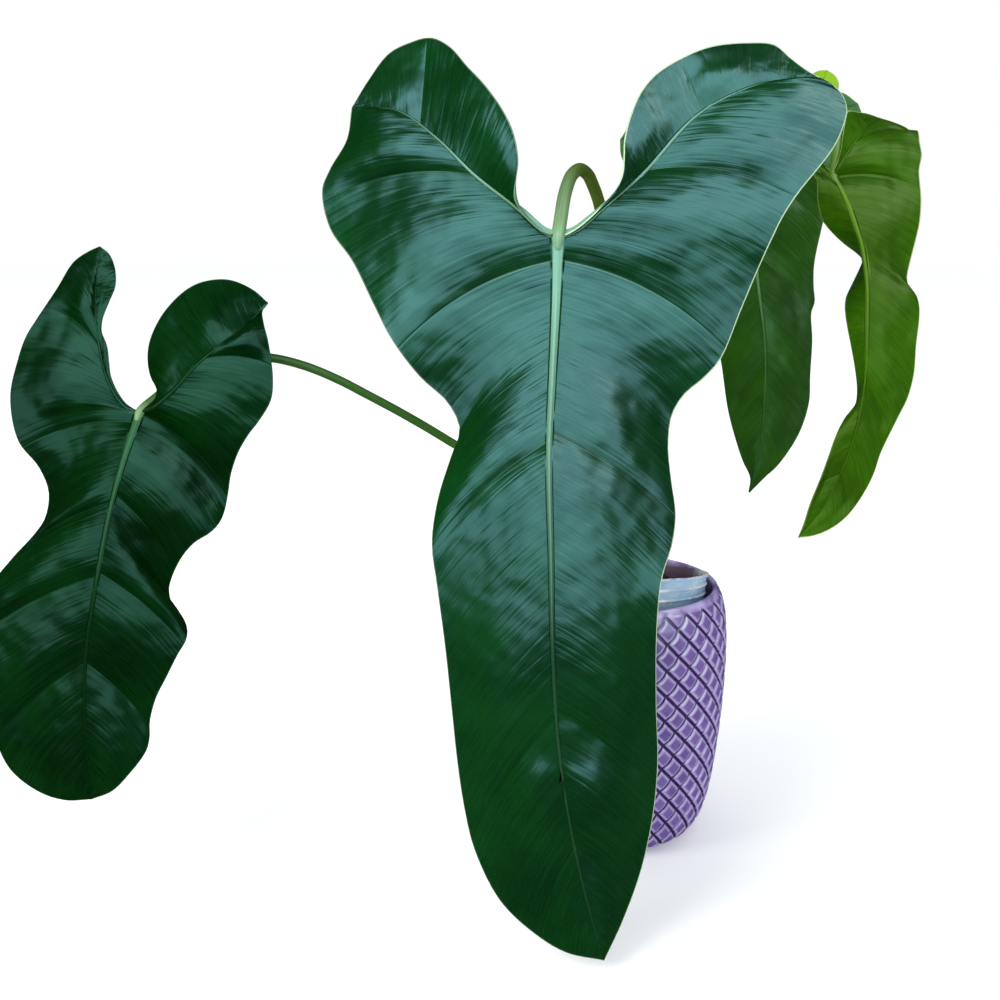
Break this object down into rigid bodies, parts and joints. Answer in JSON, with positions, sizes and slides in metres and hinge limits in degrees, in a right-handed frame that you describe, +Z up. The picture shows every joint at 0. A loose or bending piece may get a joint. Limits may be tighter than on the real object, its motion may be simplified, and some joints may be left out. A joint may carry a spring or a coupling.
{
  "type": "potted philodendron",
  "caption": "Potted climbing philodendron with large arrow-shaped leaves on long petioles, in a clear nursery pot inside a purple glazed planter with a raised diamond net.",
  "frame": {"origin": "middle of the planter's flat foot, on the ground", "axes": "+Z up, the way the stem grows; -Y is the front, towards which the large leaf hangs; +X to the right seen from the front"},
  "size_m": [0.5279, 0.2461, 0.4748],
  "materials": {
    "planter_glaze": "gloss",
    "clear_plastic": "gloss",
    "potting_mix": "matte",
    "stem": "satin",
    "petiole_main": "satin",
    "petiole_left": "satin",
    "petiole_rear": "satin",
    "petiole_young": "satin",
    "blade_main": "gloss",
    "blade_left": "gloss",
    "blade_rear": "gloss",
    "blade_young": "gloss"
  },
  "bodies": {
    "root": {"planter": "planter_glaze", "nursery_pot": "clear_plastic", "potting_mix": "potting_mix", "stem": "stem", "petiole_main": "petiole_main", "petiole_left": "petiole_left", "petiole_rear": "petiole_rear", "petiole_young": "petiole_young", "blade_main": "blade_main", "blade_left": "blade_left", "blade_rear": "blade_rear", "blade_young": "blade_young"}
  },
  "joints": []
}
